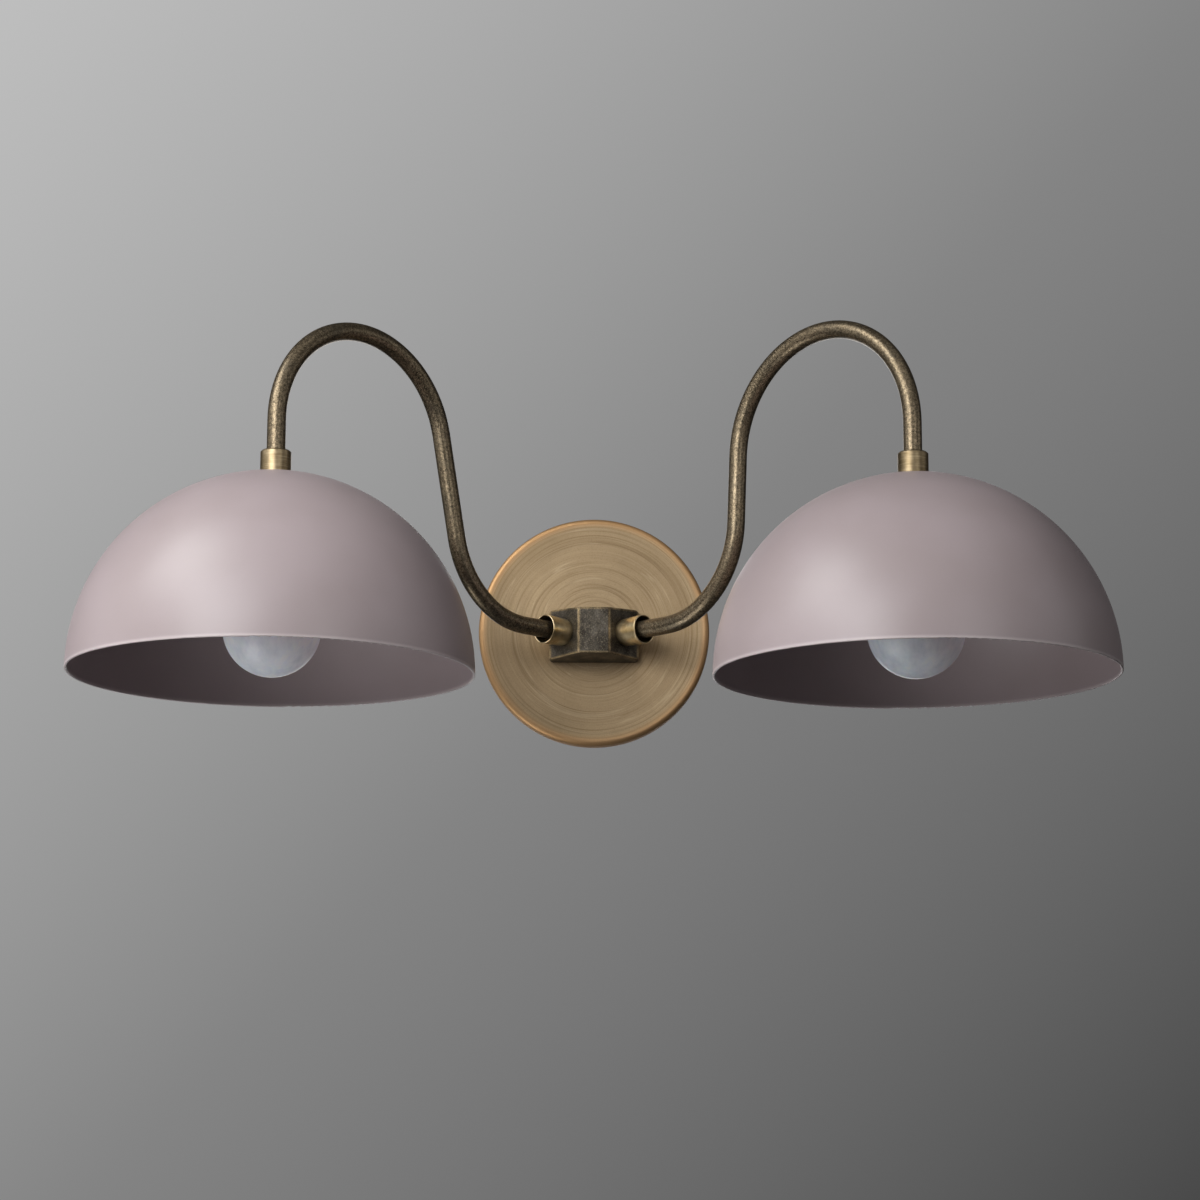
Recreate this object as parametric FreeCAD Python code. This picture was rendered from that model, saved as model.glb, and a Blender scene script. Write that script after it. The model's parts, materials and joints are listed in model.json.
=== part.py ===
import FreeCAD, Part

import math
import os

# Double arm wall sconce, in millimetres. The wall is the plane y = 0 and the lamp stands out of it
# towards -Y, with +Z up. The origin is the centre of the canopy's back face.

# ---------------------------------------------------------------- driving dimensions
# Canopy: a shallow round cover, open at the back.
canopy_diameter = 127.0
canopy_depth = 9.0
canopy_wall = 1.5
canopy_edge_radius = 2.6

# Wall bracket: a slotted crossbar whose two bent ears hold the canopy by its grub screws.
bracket_thickness = 1.6
bracket_width = 32.0
bracket_centre_hole = 24.0
slot_spacing = 79.4
slot_travel = 9.6
slot_width = 4.6
ear_width = 14.0
ear_gap = 0.8
ear_top_gap = 0.9
ear_bend_radius = 1.0
grub_diameter = 3.0
grub_length = 6.0
grub_inset = 0.3
grub_socket = 1.5
ground_screw_diameter = 4.0
ground_screw_head = 8.0
ground_screw_head_height = 2.0
ground_screw_offset = 22.0
ground_screw_rise = 9.0

# Hub: a cast block on the canopy, with a slanted face for each arm.
hub_drop = 3.2
hub_width = 49.0
hub_height = 25.4
hub_end_depth = 5.5
hub_front_width = 15.2
hub_bevel = 1.7
hub_draft = 1.6
hub_corner_radius = 2.2
hub_edge_radius = 0.8
arm_azimuth = 45.0
wire_chamber_diameter = 17.0
wire_chamber_front_wall = 6.5
hub_screw_diameter = 4.0
hub_screw_margin = 4.0
hub_screw_grip = 5.0
hub_screw_head = 7.0
hub_screw_head_height = 2.2
hub_washer_diameter = 7.6
hub_washer_thickness = 0.8
bushing_wall = 0.8
bushing_flange = 1.7
bushing_flange_thickness = 1.0

# Hub cups: flared collars on the slanted faces, with a thin lock nut inside.
cup_length = 14.7
cup_flare = 0.7
cup_wall = 0.8
cup_floor = 2.0
arm_nut_wall = 0.75
arm_nut_thickness = 3.0

# Arm tubes: one line and arc path each. The two are bent by hand and differ a little.
tube_diameter = 9.5
tube_bore = 6.8
tube_in_hub = 11.5
tube_in_collar = 7.2
arm_reach = 203.4
lower_bend_radius = 51.2
arm_lean = {"left": 12.4, "right": 2.8}
arch_radius = {"left": 56.7, "right": 59.6}
arm_rise = {"left": 138.8, "right": 141.2}

# Lead cable inside each arm.
cable_diameter = 5.2
cable_spacing = 6.2
cable_bend_radius = 9.0
cable_end = 1.0

# Shade: a spun dome with a small flat crown, its collar on top.
crown_above_hub = 52.3
shade_diameter = 203.2
shade_height = 101.0
shade_wall = 1.2
crown_diameter = 26.0
rim_round = 0.5
collar_diameter = 15.6
collar_height = 13.2
collar_chamfer = 0.7

# Lampholder, hung from a threaded nipple through the crown.
nipple_diameter = 10.0
nipple_bore = 6.8
nipple_below_cap = 1.5
washer_margin = 1.0
washer_thickness = 1.2
shade_nut_wall = 1.95
shade_nut_thickness = 3.0
socket_cap_diameter = 39.0
socket_cap_height = 12.0
socket_cap_wall = 1.2
socket_cap_corner = 3.0
socket_body_step = 0.5
socket_skirt = 5.5
socket_chamfer = 2.4
socket_lip_chamfer = 1.0
socket_wire_chamber = 24.0
socket_web_top = 11.5
socket_web = 4.0
shell_wall = 0.4
shell_length = 26.0
contact_diameter = 9.0
contact_thickness = 1.2
terminal_screw_diameter = 4.0
terminal_screw_head = 6.0
terminal_screw_head_height = 2.0
terminal_screw_margin = 1.0

# Bulb: a globe on a medium screw base.
bulb_globe_diameter = 49.2
bulb_glass = 0.9
bulb_base_diameter = 26.2
bulb_base_length = 22.0
bulb_base_wall = 0.5
bulb_base_shoulder = 1.2
bulb_insulator_inset = 3.0
bulb_insulator_lip = 0.6
bulb_insulator_length = 4.2
bulb_tip_diameter = 9.6
bulb_tip_thickness = 1.0
bulb_neck_in_base = 3.0
bulb_neck_length = 6.0

# Clearances
bore_end_gap = 0.5
nipple_end_gap = 0.6
bulb_base_clearance = 0.5
thread_clearance = 0.05
slip_clearance = 0.1
cable_clearance = 0.6
screw_hole_clearance = 0.2
nut_clearance = 0.15
socket_clearance = 0.3
contact_gap = 0.1

# ---------------------------------------------------------------- places worked out from them
HALF = 0.5
ROUND = 1 - math.sqrt(0.5)
TINY = 1e-4
CUT_PAST = 1.0
UP = FreeCAD.Vector(0, 0, 1)
FORWARD = FreeCAD.Vector(0, -1, 0)
RIGHT = FreeCAD.Vector(1, 0, 0)
ORIGIN = FreeCAD.Vector(0, 0, 0)
SIDES = {"left": -1, "right": 1}

canopy_radius = HALF * canopy_diameter
canopy_inner_face = canopy_depth - canopy_wall
hub_z = -hub_drop

azimuth = math.radians(arm_azimuth)
hub_half_width = HALF * hub_width
hub_screw_offset = hub_half_width - hub_screw_margin
hub_half_front = HALF * hub_front_width
slant_inner_x = hub_half_front + hub_bevel
slant_depth = (hub_half_width - slant_inner_x) / math.tan(azimuth)
slant_start = canopy_depth + hub_end_depth
slant_end = slant_start + slant_depth
hub_front = slant_end + hub_bevel * math.tan(HALF * azimuth)
face_x = HALF * (hub_half_width + slant_inner_x)
face_depth = HALF * (slant_start + slant_end)
chamber_depth = hub_front - wire_chamber_front_wall

cable_corner = (HALF * cable_spacing - face_x) / math.sin(azimuth)
cable_turn_reach = cable_bend_radius * math.tan(HALF * azimuth)

arm_nut_across_flats = tube_diameter + 2 * (thread_clearance + arm_nut_wall)
arm_nut_radius = HALF * arm_nut_across_flats / math.cos(math.radians(30))
cup_inner_radius = arm_nut_radius + nut_clearance

ear_face_x = canopy_radius - canopy_wall - ear_gap
ear_depth = canopy_inner_face - ear_top_gap
grub_depth = HALF * (bracket_thickness + ear_depth)
ground_screw_base = FreeCAD.Vector(-ground_screw_offset, 0, ground_screw_rise)

washer_diameter = crown_diameter - 2 * washer_margin
shade_nut_across_flats = nipple_diameter + 2 * (thread_clearance + shade_nut_wall)
nipple_in_collar = collar_height - tube_in_collar - nipple_end_gap
socket_body_diameter = socket_cap_diameter - 2 * socket_body_step
socket_body_height = socket_web_top + socket_web + shell_length + socket_skirt
shell_outer_diameter = bulb_base_diameter + 2 * (bulb_base_clearance + shell_wall)
terminal_screw_offset = HALF * (socket_wire_chamber - terminal_screw_head) - terminal_screw_margin
bulb_neck_radius = HALF * bulb_base_diameter - bulb_base_wall - slip_clearance

crown_z = hub_z + crown_above_hub
crown_inner_z = crown_z - shade_wall
rim_z = crown_z - shade_height
washer_z = crown_inner_z - washer_thickness
shade_nut_z = washer_z - shade_nut_thickness
socket_top_z = shade_nut_z - socket_cap_wall
socket_bottom_z = socket_top_z - socket_body_height
web_top_z = socket_top_z - socket_web_top
web_bottom_z = web_top_z - socket_web
contact_z = web_bottom_z - contact_thickness
bulb_top_z = contact_z - contact_gap
base_top_z = bulb_top_z - bulb_tip_thickness - bulb_insulator_length
base_bottom_z = base_top_z - bulb_base_length
globe_top_z = base_bottom_z - bulb_neck_length
globe_z = globe_top_z - math.sqrt((HALF * bulb_globe_diameter) ** 2 - bulb_neck_radius ** 2)

nodes = {}


# ---------------------------------------------------------------- shared operations
def outline_wire(points, place):
    """Closed wire through points; an item of four numbers is an arc by its middle and end."""
    edges = []
    start = place(*points[0])
    for item in list(points[1:]) + [points[0]]:
        end = place(*item[-2:])
        if len(item) == 4:
            edges.append(Part.Arc(start, place(*item[:2]), end).toShape())
        elif end.distanceToPoint(start) > TINY:
            edges.append(Part.LineSegment(start, end).toShape())
        start = end
    return Part.Wire(edges)


def turned(outline, base=ORIGIN, axis=UP):
    """Solid of revolution: each outline point is a distance along the axis and a radius."""
    side = RIGHT if abs(axis.dot(UP)) > HALF else UP

    def place(along, radius):
        return base + axis * along + side * radius

    face = Part.Face(outline_wire(outline, place))
    return face.revolve(base, axis, 360)


def rod(diameter, start, end, base=ORIGIN, axis=UP):
    return turned([(start, 0), (start, HALF * diameter), (end, HALF * diameter), (end, 0)], base, axis)


def ring(outer, inner, start, end, base=ORIGIN, axis=UP):
    r_out = HALF * outer
    r_in = HALF * inner
    return turned([(start, r_in), (start, r_out), (end, r_out), (end, r_in)], base, axis)


def hexagon(across_flats, start, end, base=ORIGIN, axis=UP):
    side = RIGHT if abs(axis.dot(UP)) > HALF else UP
    other = axis.cross(side)
    corner = HALF * across_flats / math.cos(math.radians(30))
    points = []
    for step in range(6):
        turn = math.radians(60 * step)
        points.append(base + axis * start + side * corner * math.cos(turn) + other * corner * math.sin(turn))
    face = Part.Face(Part.makePolygon(points + [points[0]]))
    return face.extrude(axis * (end - start))


def hex_nut(across_flats, hole, start, end, base=ORIGIN, axis=UP):
    bore = rod(hole, start - CUT_PAST, end + CUT_PAST, base, axis)
    return hexagon(across_flats, start, end, base, axis).cut(bore)


def upright_plate(outline, depth_start, depth_end):
    """Plate parallel to the wall from an outline in x and z."""
    wire = outline_wire(outline, lambda x, z: FreeCAD.Vector(x, -depth_start, z))
    return Part.Face(wire).extrude(FORWARD * (depth_end - depth_start))


def slot_outline(centre_x, centre_z, travel, width):
    """Outline of a slot along x with round ends."""
    half_travel = HALF * travel
    r = HALF * width
    left = centre_x - half_travel
    right = centre_x + half_travel
    return [
        (left, centre_z - r),
        (right, centre_z - r),
        (right + r, centre_z, right, centre_z + r),
        (left, centre_z + r),
        (left - r, centre_z, left, centre_z - r),
    ]


def swept_rod(diameter, edges):
    """Round rod along tangent lines and arcs."""
    path = Part.Wire(edges)
    start = edges[0].firstVertex().Point
    direction = edges[0].tangentAt(edges[0].FirstParameter)
    section = Part.Wire(Part.makeCircle(HALF * diameter, start, direction))
    return path.makePipeShell([section], True, False)


def line(start, end):
    return Part.LineSegment(start, end).toShape()


def arc(start, middle, end):
    return Part.Arc(start, middle, end).toShape()


def at(x, depth, z):
    """Point at a distance in front of the wall."""
    return FreeCAD.Vector(x, -depth, z)


# ---------------------------------------------------------------- wall side
def make_canopy():
    r = canopy_radius
    edge = canopy_edge_radius
    inner_edge = edge - canopy_wall
    inner_r = r - canopy_wall
    outline = [
        (0, inner_r),
        (0, r),
        (canopy_depth - edge, r),
        (canopy_depth - edge * ROUND, r - edge * ROUND, canopy_depth, r - edge),
        (canopy_depth, 0),
        (canopy_inner_face, 0),
        (canopy_inner_face, inner_r - inner_edge),
        (canopy_inner_face - inner_edge * ROUND, inner_r - inner_edge * ROUND,
         canopy_inner_face - inner_edge, inner_r),
    ]
    body = turned(outline, ORIGIN, FORWARD)
    hub_axis = at(0, 0, hub_z)
    front = canopy_depth + CUT_PAST
    screw_hole = hub_screw_diameter + 2 * screw_hole_clearance
    grub_hole = grub_diameter + 2 * slip_clearance
    cuts = [rod(wire_chamber_diameter, 0, front, hub_axis, FORWARD)]
    for side in SIDES.values():
        cuts.append(rod(screw_hole, 0, front, at(side * hub_screw_offset, 0, hub_z), FORWARD))
        cuts.append(rod(grub_hole, inner_r - CUT_PAST, r + CUT_PAST, at(0, grub_depth, 0), RIGHT * side))
    return body.cut(cuts)


def make_bracket():
    half_width = HALF * bracket_width
    half_ear = HALF * ear_width
    bar_half = HALF * (slot_spacing + slot_travel) + slot_width
    ear_inner_x = ear_face_x - bracket_thickness
    bar = upright_plate(
        [
            (-bar_half, -half_width), (bar_half, -half_width), (ear_inner_x - half_ear, -half_ear),
            (ear_inner_x, -half_ear), (ear_inner_x, half_ear), (ear_inner_x - half_ear, half_ear),
            (bar_half, half_width), (-bar_half, half_width), (half_ear - ear_inner_x, half_ear),
            (-ear_inner_x, half_ear), (-ear_inner_x, -half_ear), (half_ear - ear_inner_x, -half_ear),
        ],
        0, bracket_thickness)
    for side in SIDES.values():
        bar = bar.fuse(make_ear(side, half_ear))
    front = bracket_thickness + CUT_PAST
    cuts = [rod(bracket_centre_hole, -CUT_PAST, front, ORIGIN, FORWARD)]
    grub_hole = grub_diameter + 2 * thread_clearance
    for side in SIDES.values():
        slot = slot_outline(side * HALF * slot_spacing, 0, slot_travel, slot_width)
        cuts.append(upright_plate(slot, -CUT_PAST, front))
        cuts.append(rod(grub_hole, ear_inner_x - CUT_PAST, canopy_radius, at(0, grub_depth, 0), RIGHT * side))
    ground_hole = ground_screw_diameter + 2 * thread_clearance
    cuts.append(rod(ground_hole, -CUT_PAST, front, ground_screw_base, FORWARD))
    return bar.cut(cuts).removeSplitter()


def make_ear(side, half_ear):
    """Ear bent forward from the bar, with a round outer bend."""
    outer = ear_face_x
    inner = outer - bracket_thickness
    bend = ear_bend_radius
    corner = bend * ROUND
    profile = [
        (inner, 0),
        (outer - bend, 0),
        (outer - corner, corner, outer, bend),
        (outer, ear_depth),
        (inner, ear_depth),
    ]
    wire = outline_wire(profile, lambda x, depth: at(side * x, depth, -half_ear))
    return Part.Face(wire).extrude(UP * 2 * half_ear)


def make_grub_screws():
    screws = []
    for side in SIDES.values():
        outer = canopy_radius - grub_inset
        base = at(0, grub_depth, 0)
        body = rod(grub_diameter, outer - grub_length, outer, base, RIGHT * side)
        socket = hexagon(grub_socket, outer - grub_socket, outer + CUT_PAST, base, RIGHT * side)
        screws.append(body.cut(socket))
    return screws


def pan_screw(diameter, head_diameter, head_height, head_start, tip, base, axis):
    """Screw along the axis from head_start, its head's underside, to its tip, with a rounded head."""
    r = HALF * diameter
    head_r = HALF * head_diameter
    top = head_start - head_height
    corner = HALF * head_height
    outline = [
        (tip, 0),
        (tip, r),
        (head_start, r),
        (head_start, head_r),
        (top + corner, head_r),
        (top + corner * ROUND, head_r - corner * ROUND, top, head_r - corner),
        (top, 0),
    ]
    return turned(outline, base, axis)


def make_ground_screw():
    return pan_screw(ground_screw_diameter, ground_screw_head, ground_screw_head_height,
                     -bracket_thickness, 0, ground_screw_base, FORWARD * -1)


def make_bushing():
    base = at(0, 0, hub_z)
    r_out = HALF * wire_chamber_diameter - slip_clearance
    r_in = r_out - bushing_wall
    flange_r = r_out + bushing_flange
    flange_back = canopy_inner_face - bushing_flange_thickness
    outline = [
        (flange_back, r_in), (flange_back, flange_r), (canopy_inner_face, flange_r),
        (canopy_inner_face, r_out), (canopy_depth, r_out), (canopy_depth, r_in),
    ]
    return turned(outline, base, FORWARD)


# ---------------------------------------------------------------- hub
def arm_direction(side):
    return FreeCAD.Vector(side * math.sin(azimuth), -math.cos(azimuth), 0)


def arm_base(side):
    """Centre of the hub's slanted face."""
    return at(side * face_x, face_depth, hub_z)


def runs_back(edge):
    """Whether an edge runs from front to back."""
    box = edge.BoundBox
    return box.XLength < TINY and box.YLength > box.ZLength


def make_hub():
    """Block as wide as its outline, and taller by its draft towards the canopy."""
    w = hub_half_width
    front_half = HALF * hub_height
    back_half = front_half + hub_draft
    past = w + CUT_PAST
    outline = [
        (-w, canopy_depth), (w, canopy_depth), (w, slant_start), (slant_inner_x, slant_end),
        (hub_half_front, hub_front), (-hub_half_front, hub_front), (-slant_inner_x, slant_end),
        (-w, slant_start),
    ]
    profile = [(canopy_depth, back_half), (hub_front, front_half),
               (hub_front, -front_half), (canopy_depth, -back_half)]
    seen_above = outline_wire(outline, lambda x, depth: at(x, depth, hub_z - back_half))
    seen_aside = outline_wire(profile, lambda depth, rise: at(-past, depth, hub_z + rise))
    block = Part.Face(seen_above).extrude(UP * 2 * back_half)
    block = block.common(Part.Face(seen_aside).extrude(RIGHT * 2 * past))
    corners = [edge for edge in block.Edges if runs_back(edge)]
    block = block.makeFillet(hub_corner_radius, corners)
    touches_canopy = -canopy_depth - hub_edge_radius
    front_edges = [edge for edge in block.Edges
                   if edge.BoundBox.YMin < touches_canopy and not runs_back(edge)]
    block = block.makeFillet(hub_edge_radius, front_edges)
    tube_hole = tube_diameter + 2 * thread_clearance
    cable_hole = cable_diameter + 2 * cable_clearance
    screw_hole = hub_screw_diameter + 2 * thread_clearance
    cuts = [rod(wire_chamber_diameter, 0, chamber_depth, at(0, 0, hub_z), FORWARD)]
    for side in SIDES.values():
        base = arm_base(side)
        axis = arm_direction(side)
        cuts.append(rod(tube_hole, -tube_in_hub - bore_end_gap, CUT_PAST, base, axis))
        cuts.append(rod(cable_hole, cable_corner + cable_turn_reach, 0, base, axis))
        screw_axis = at(side * hub_screw_offset, 0, hub_z)
        screw_end = canopy_depth + hub_screw_grip + bore_end_gap
        cuts.append(rod(screw_hole, 0, screw_end, screw_axis, FORWARD))
    return block.cut(cuts)


def make_hub_screws():
    screws = []
    for side in SIDES.values():
        base = at(side * hub_screw_offset, 0, hub_z)
        under_head = canopy_inner_face - hub_washer_thickness
        tip = canopy_depth + hub_screw_grip
        screws.append(pan_screw(hub_screw_diameter, hub_screw_head, hub_screw_head_height,
                                under_head, tip, base, FORWARD))
    return screws


def make_hub_washers():
    washers = []
    for side in SIDES.values():
        base = at(side * hub_screw_offset, 0, hub_z)
        hole = hub_screw_diameter + 2 * slip_clearance
        start = canopy_inner_face - hub_washer_thickness
        washers.append(ring(hub_washer_diameter, hole, start, canopy_inner_face, base, FORWARD))
    return washers


def make_cup(side):
    """Flared collar with a floor on the hub's face and a rounded lip at its mouth."""
    hole = HALF * tube_diameter + slip_clearance
    inner_mouth = cup_inner_radius + cup_flare
    lip = HALF * cup_wall
    outline = [
        (0, hole),
        (0, cup_inner_radius + cup_wall),
        (cup_length - lip, inner_mouth + cup_wall),
        (cup_length, inner_mouth + lip, cup_length - lip, inner_mouth),
        (cup_floor, cup_inner_radius),
        (cup_floor, hole),
    ]
    return turned(outline, arm_base(side), arm_direction(side))


def make_arm_nut(side):
    hole = tube_diameter + 2 * thread_clearance
    end = cup_floor + arm_nut_thickness
    return hex_nut(arm_nut_across_flats, hole, cup_floor, end, arm_base(side), arm_direction(side))


# ---------------------------------------------------------------- arms and cables
def arm_path(name, start, end_z):
    """Lines and arcs of an arm's axis, from a distance along the hub's bore to a height."""
    side = SIDES[name]
    base = arm_base(side)
    outward = arm_direction(side)
    lean = math.radians(arm_lean[name])
    low_r = lower_bend_radius
    top_r = arch_radius[name]

    def place(out, up):
        return base + outward * out + UP * up

    arch_out = arm_reach - top_r
    arch_up = arm_rise[name] - top_r
    leg_top = (arch_out - top_r * math.cos(lean), arch_up + top_r * math.sin(lean))
    leg_length = (leg_top[1] - low_r * (1 - math.sin(lean))) / math.cos(lean)
    leg_foot = (leg_top[0] - leg_length * math.sin(lean), leg_top[1] - leg_length * math.cos(lean))
    bend_out = leg_foot[0] - low_r * math.cos(lean)
    half_turn = HALF * (HALF * math.pi - lean)
    bend_middle = (bend_out + low_r * math.sin(half_turn), low_r * (1 - math.cos(half_turn)))
    end_up = end_z - base.z
    return [
        line(place(start, 0), place(bend_out, 0)),
        arc(place(bend_out, 0), place(*bend_middle), place(*leg_foot)),
        line(place(*leg_foot), place(*leg_top)),
        arc(place(*leg_top), place(arch_out, arm_rise[name]), place(arm_reach, arch_up)),
        line(place(arm_reach, arch_up), place(arm_reach, end_up)),
    ]


tube_end_z = crown_z + collar_height - tube_in_collar


def make_tube(name):
    outer = swept_rod(tube_diameter, arm_path(name, -tube_in_hub, tube_end_z))
    bore = swept_rod(tube_bore, arm_path(name, -tube_in_hub - CUT_PAST, tube_end_z - CUT_PAST))
    return outer.cut(bore)


def make_cable(name):
    """Cable from the canopy's open back, round one turn in the hub and through the arm."""
    side = SIDES[name]
    outward = arm_direction(side)
    corner = arm_base(side) + outward * cable_corner
    turn_in = corner - FORWARD * cable_turn_reach
    turn_out = corner + outward * cable_turn_reach
    inward = outward - FORWARD
    inward.normalize()
    middle = corner + inward * cable_bend_radius * (1 / math.cos(HALF * azimuth) - 1)
    start = at(side * HALF * cable_spacing, cable_end, hub_z)
    edges = [line(start, turn_in), arc(turn_in, middle, turn_out)]
    run = arm_path(name, cable_corner + cable_turn_reach, web_top_z + cable_clearance)
    return swept_rod(cable_diameter, edges + run)


# ---------------------------------------------------------------- shade and lampholder
def shade_axis(name):
    base = arm_base(SIDES[name]) + arm_direction(SIDES[name]) * arm_reach
    return FreeCAD.Vector(base.x, base.y, 0)


def make_shade(name):
    """Spun dome: round from the rim to the edge of its flat crown."""
    rim_r = HALF * shade_diameter
    crown_r = HALF * crown_diameter
    centre = (crown_r ** 2 + shade_height ** 2 - rim_r ** 2) / (2 * shade_height)
    outer_r = math.hypot(rim_r, centre)
    inner_r = outer_r - shade_wall
    hole = HALF * nipple_diameter + slip_clearance
    inner_crown = shade_height - shade_wall
    inner_crown_r = math.sqrt(inner_r ** 2 - (inner_crown - centre) ** 2)
    inner_rim_r = math.sqrt(inner_r ** 2 - centre ** 2)

    half_way = HALF * math.acos(crown_r / outer_r)

    def on_dome(radius, turn):
        return (rim_z + centre + radius * math.sin(turn), radius * math.cos(turn))

    outline = [
        (rim_z + rim_round, inner_rim_r),
        (rim_z, HALF * (inner_rim_r + rim_r), rim_z + rim_round, rim_r),
        on_dome(outer_r, half_way) + (crown_z, crown_r),
        (crown_z, hole),
        (crown_inner_z, hole),
        (crown_inner_z, inner_crown_r),
        on_dome(inner_r, half_way) + (rim_z + rim_round, inner_rim_r),
    ]
    return turned(outline, shade_axis(name))


def make_collar(name):
    r = HALF * collar_diameter
    top = crown_z + collar_height
    step = top - tube_in_collar - slip_clearance
    tube_r = HALF * tube_diameter + thread_clearance
    nipple_r = HALF * nipple_diameter + thread_clearance
    outline = [
        (crown_z, nipple_r), (crown_z, r), (top - collar_chamfer, r), (top, r - collar_chamfer),
        (top, tube_r), (step, tube_r), (step, nipple_r),
    ]
    return turned(outline, shade_axis(name))


def make_nipple(name):
    start = socket_top_z - nipple_below_cap
    return ring(nipple_diameter, nipple_bore, start, crown_z + nipple_in_collar, shade_axis(name))


def make_shade_washer(name):
    hole = nipple_diameter + 2 * slip_clearance
    return ring(washer_diameter, hole, washer_z, crown_inner_z, shade_axis(name))


def make_shade_nut(name):
    hole = nipple_diameter + 2 * thread_clearance
    return hex_nut(shade_nut_across_flats, hole, shade_nut_z, washer_z, shade_axis(name))


def make_socket_cap(name):
    r = HALF * socket_cap_diameter
    corner = socket_cap_corner
    bend = corner * ROUND
    inner_r = r - socket_cap_wall
    inner_corner = corner - socket_cap_wall
    inner_bend = inner_corner * ROUND
    hole = HALF * nipple_diameter + thread_clearance
    rim = shade_nut_z - socket_cap_height
    outline = [
        (rim, inner_r),
        (rim, r),
        (shade_nut_z - corner, r),
        (shade_nut_z - bend, r - bend, shade_nut_z, r - corner),
        (shade_nut_z, hole),
        (socket_top_z, hole),
        (socket_top_z, inner_r - inner_corner),
        (socket_top_z - inner_bend, inner_r - inner_bend, socket_top_z - inner_corner, inner_r),
    ]
    return turned(outline, shade_axis(name))


def make_socket_body(name):
    r = HALF * socket_body_diameter
    neck_r = HALF * socket_cap_diameter - socket_cap_wall - socket_clearance
    shoulder = shade_nut_z - socket_cap_height
    bore_r = HALF * shell_outer_diameter + thread_clearance
    chamber_r = HALF * socket_wire_chamber
    lip = socket_lip_chamfer
    outline = [
        (socket_bottom_z, bore_r), (socket_bottom_z, r - lip), (socket_bottom_z + lip, r), (shoulder, r),
        (shoulder, neck_r), (socket_top_z - socket_chamfer, neck_r), (socket_top_z, neck_r - socket_chamfer),
        (socket_top_z, chamber_r), (web_top_z, chamber_r), (web_top_z, 0),
        (web_bottom_z, 0), (web_bottom_z, bore_r),
    ]
    body = turned(outline, shade_axis(name))
    holes = []
    hole = terminal_screw_diameter + 2 * thread_clearance
    for side in SIDES.values():
        base = shade_axis(name) + RIGHT * side * terminal_screw_offset
        holes.append(rod(hole, web_bottom_z - CUT_PAST, web_top_z + CUT_PAST, base))
    return body.cut(holes)


def make_terminal_screws(name):
    screws = []
    for side in SIDES.values():
        base = shade_axis(name) + RIGHT * side * terminal_screw_offset
        screws.append(pan_screw(terminal_screw_diameter, terminal_screw_head, terminal_screw_head_height,
                                -web_top_z, -web_bottom_z, base, UP * -1))
    return screws


def make_screw_shell(name):
    start = web_bottom_z - shell_length
    inner = shell_outer_diameter - 2 * shell_wall
    return ring(shell_outer_diameter, inner, start, web_bottom_z, shade_axis(name))


def make_centre_contact(name):
    return rod(contact_diameter, contact_z, web_bottom_z, shade_axis(name))


# ---------------------------------------------------------------- bulb
def make_globe(name):
    """Blown globe with a short neck that enters the screw base."""
    r = HALF * bulb_globe_diameter
    inner_r = r - bulb_glass
    neck_inner = bulb_neck_radius - bulb_glass
    neck_top = base_bottom_z + bulb_neck_in_base
    inner_join = globe_z + math.sqrt(inner_r ** 2 - neck_inner ** 2)
    outline = [
        (globe_z - r, 0),
        (globe_z, r, globe_top_z, bulb_neck_radius),
        (neck_top, bulb_neck_radius),
        (neck_top, neck_inner),
        (inner_join, neck_inner),
        (globe_z, inner_r, globe_z - inner_r, 0),
    ]
    return turned(outline, shade_axis(name))


def make_bulb_base(name):
    r = HALF * bulb_base_diameter
    inner = r - bulb_base_wall
    shoulder = bulb_base_shoulder
    opening = HALF * bulb_tip_diameter + shoulder
    outline = [
        (base_bottom_z, inner), (base_bottom_z, r), (base_top_z - shoulder, r), (base_top_z, r - shoulder),
        (base_top_z, opening), (base_top_z - bulb_base_wall, opening),
        (base_top_z - bulb_base_wall, inner - shoulder), (base_top_z - shoulder - bulb_base_wall, inner),
    ]
    return turned(outline, shade_axis(name))


def make_insulator(name):
    top = base_top_z + bulb_insulator_length
    wide = HALF * bulb_base_diameter - bulb_insulator_inset
    narrow = HALF * bulb_tip_diameter + bulb_insulator_lip
    outline = [(base_top_z, 0), (base_top_z, wide), (top, narrow), (top, 0)]
    return turned(outline, shade_axis(name))


def make_tip(name):
    start = base_top_z + bulb_insulator_length
    return rod(bulb_tip_diameter, start, start + bulb_tip_thickness, shade_axis(name))


# ---------------------------------------------------------------- all nodes
nodes["canopy"] = make_canopy()
nodes["wall_bracket"] = make_bracket()
nodes["canopy_grub_screws"] = make_grub_screws()
nodes["ground_screw"] = make_ground_screw()
nodes["wire_bushing"] = make_bushing()
nodes["hub_body"] = make_hub()
nodes["hub_screws"] = make_hub_screws()
nodes["hub_screw_washers"] = make_hub_washers()

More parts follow.
